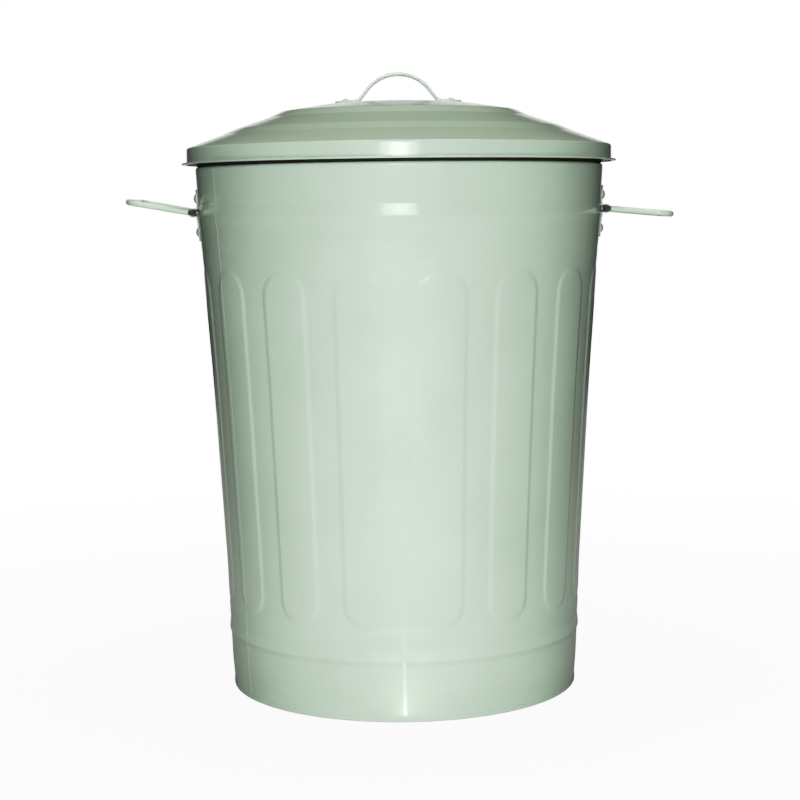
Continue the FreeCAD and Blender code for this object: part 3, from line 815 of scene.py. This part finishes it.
def make_bare_steel(name):
    """Bare steel wire: fine grain, and a dull oxide bloom."""
    material, nodes, links, shader = new_material(name)
    place = nodes.new("ShaderNodeTexCoord").outputs["Object"]
    bloom = noise(nodes, links, place, 60, 5, 0.65)
    tint = ramp(nodes, links, bloom, [
        (0.35, (0.30, 0.30, 0.31)), (0.55, grey(0.50)), (0.75, (0.36, 0.31, 0.27)),
    ])
    links.new(tint, shader.inputs["Base Color"])
    links.new(mapped(nodes, links, bloom, 0.3, 0.7, 0.30, 0.55), shader.inputs["Roughness"])
    grain = noise(nodes, links, place, 900, 3)
    links.new(bump(nodes, links, grain, 0.3, 0.04 * MM), shader.inputs["Normal"])
    shader.inputs["Metallic"].default_value = 1.0
    return material


def make_floor_material():
    """Sheet that the camera sees nearly white. To the object it is mid-grey, and darker far to
    its sides, so that the edges of the wall mirror something dark."""
    material, nodes, links, shader = new_material("pale_floor")
    place = nodes.new("ShaderNodeTexCoord").outputs["Object"]
    clouds = noise(nodes, links, place, 1.2, 4)
    tint = ramp(nodes, links, clouds, [(0.3, grey(0.38)), (0.7, grey(0.42))])
    aside, _ = aside_and_up(nodes, links, place)
    beside = mapped(nodes, links, aside, 0.55, 1.1, 0.0, 0.75)
    tint = mixed(nodes, links, beside, tint, grey(0.05))
    links.new(tint, shader.inputs["Base Color"])
    shader.inputs["Roughness"].default_value = 0.9
    shader.inputs["Specular IOR Level"].default_value = 0.1
    length = nodes.new("ShaderNodeVectorMath")
    length.operation = "LENGTH"
    links.new(place, length.inputs[0])
    white = nodes.new("ShaderNodeEmission")
    fade = mapped(nodes, links, length.outputs["Value"], 0.3, 1.5, 0.93, 1.0)
    seen = nodes.new("ShaderNodeLightPath").outputs["Is Camera Ray"]
    share = nodes.new("ShaderNodeMath")
    share.operation = "MULTIPLY"
    links.new(fade, share.inputs[0])
    links.new(seen, share.inputs[1])
    mix = nodes.new("ShaderNodeMixShader")
    links.new(share.outputs[0], mix.inputs[0])
    links.new(shader.outputs[0], mix.inputs[1])
    links.new(white.outputs[0], mix.inputs[2])
    links.new(mix.outputs[0], nodes["Material Output"].inputs["Surface"])
    return material


# ---------------------------------------------------------------- studio

def make_floor():
    """Wide level sheet under the object."""
    bm = bmesh.new()
    bmesh.ops.create_grid(bm, x_segments=8, y_segments=8, size=7)
    floor = add_object(bm, "studio_floor", make_floor_material())


def make_world():
    """White to the camera; to the object a dim room with a pale screen behind it."""
    world = bpy.data.worlds.new("studio")
    bpy.context.scene.world = world
    world.use_nodes = True
    nodes, links = world.node_tree.nodes, world.node_tree.links
    nodes.clear()
    out = nodes.new("ShaderNodeOutputWorld")
    split = nodes.new("ShaderNodeSeparateXYZ")
    links.new(nodes.new("ShaderNodeTexCoord").outputs["Generated"], split.inputs["Vector"])
    screen = ramp(nodes, links, split.outputs["Y"], [
        (0.0, grey(0.012)), (0.95, grey(0.010)), (0.975, (0.76, 0.75, 0.75)),
    ])
    height = mapped(nodes, links, split.outputs["Z"], 0.24, 0.42, 0.0, 1.0)
    room = mixed(nodes, links, height, screen, (0.09, 0.088, 0.075))
    room_light = nodes.new("ShaderNodeBackground")
    links.new(room, room_light.inputs["Color"])
    seen = nodes.new("ShaderNodeBackground")
    seen.inputs["Color"].default_value = (1, 1, 1, 1)
    mix = nodes.new("ShaderNodeMixShader")
    links.new(nodes.new("ShaderNodeLightPath").outputs["Is Camera Ray"], mix.inputs["Fac"])
    links.new(room_light.outputs[0], mix.inputs[1])
    links.new(seen.outputs[0], mix.inputs[2])
    links.new(mix.outputs[0], out.inputs["Surface"])


def make_softbox(name, place, target, width, height, power, mirrored, colour=(1, 1, 1)):
    """Soft rectangular light; one that isn't mirrored doesn't show in the gloss of the paint."""
    light = bpy.data.lights.new(name, "AREA")
    light.shape = "RECTANGLE"
    light.size, light.size_y = width, height
    light.energy = power
    light.color = colour
    lamp = bpy.data.objects.new(name, light)
    lamp.location = place
    lamp.rotation_euler = (Vector(target) - Vector(place)).to_track_quat("-Z", "Y").to_euler()
    lamp.visible_camera = False
    lamp.visible_glossy = mirrored
    bpy.context.scene.collection.objects.link(lamp)


def make_lights():
    """Lamps by name, place, target, width, height, power, and whether the paint mirrors them."""
    middle = (0, 0, 0.35)
    make_softbox("front", (0, -2.9, 0.98), middle, 0.95, 0.75, 11, True)
    make_softbox("front_core", (0, -2.85, 0.97), middle, 0.42, 0.34, 3.2, True)
    make_softbox("front_fill", (0, -2.95, 0.66), middle, 2.6, 0.9, 45, False)
    make_softbox("front_low", (0, -1.15, 0.10), (0, 0, 0.12), 0.5, 0.14, 3.0, False)
    make_softbox("floor_strip", (0, -0.40, 0.004), (0, -0.40, 1), 0.004, 0.40, 0.035, True)
    make_softbox("top", (0, -0.1, 2.6), (0, 0, 0), 1.6, 1.6, 26, True, (1, 0.98, 0.93))
    make_softbox("back", (0, 2.9, 1.0), middle, 1.8, 1.2, 44, False)
    make_softbox("left", (-2.9, 0, 1.0), middle, 1.4, 1.2, 1.5, False)
    make_softbox("right", (2.9, 0, 1.0), middle, 1.4, 1.2, 1.5, False)


def make_camera():
    """Level with the collar, a little tilted down and very slightly rolled."""
    distance, height = 2.0314, 0.5333
    tilt, roll = 0.1061, 0.0112
    camera = bpy.data.cameras.new("front_camera")
    camera.sensor_width, camera.lens = 36, 81.7
    camera.shift_x, camera.shift_y = -0.002, -0.0011
    holder = bpy.data.objects.new("front_camera", camera)
    turn = Matrix.Rotation(math.pi / 2 - tilt, 4, "X") @ Matrix.Rotation(-roll, 4, "Z")
    holder.matrix_world = Matrix.Translation((0, -distance, height)) @ turn
    bpy.context.scene.collection.objects.link(holder)
    bpy.context.scene.camera = holder


def set_tone():
    """Plain display with a gentle contrast curve, as a product picture has."""
    all_channels = 3
    view = bpy.context.scene.view_settings
    view.view_transform = "Standard"
    view.use_curve_mapping = True
    curve = view.curve_mapping.curves[all_channels]
    for place, value in ((0.06, 0.038), (0.20, 0.175), (0.45, 0.515), (0.70, 0.75)):
        curve.points.new(place, value)
    view.curve_mapping.update()


# ---------------------------------------------------------------- build

SAGE = (0.480, 0.590, 0.490)
can_paint = make_paint("can_powder_coat", SAGE)
lid_paint = make_paint("lid_powder_coat", scaled(SAGE, 0.97))
# Painted light: the handle coat is the same sage made 8% lighter, so the thin bails, strap and brackets
# read as more brightly lit.
handle_paint = make_paint("handle_powder_coat", scaled(SAGE, 1.08), peel=0.04, hinge_shade=True)
rivet_paint = make_paint("rivet_powder_coat", SAGE, peel=0.04)

make_wall(can_paint)
make_base(can_paint)
make_lid(lid_paint)
# Painted shade: the hidden ring is near-black so that the gap under the lid's flange shows as a dark
# shadow line.
make_ring(make_dark_shade_coat("ring_painted_shade", (0.022, 0.024, 0.022)))
make_strap(handle_paint)
make_rivets(rivet_paint)
for side_name, side_turn in (("left", math.pi), ("right", 0.0)):
    make_bracket(side_name, side_turn, handle_paint)
    make_bail(side_name, side_turn, handle_paint)

core_wire = frame["nodes"]["rim_wire"]
core_wire.data.materials.clear()
core_wire.data.materials.append(make_bare_steel("core_wire_steel"))

make_floor()
make_world()
make_lights()
make_camera()
set_tone()
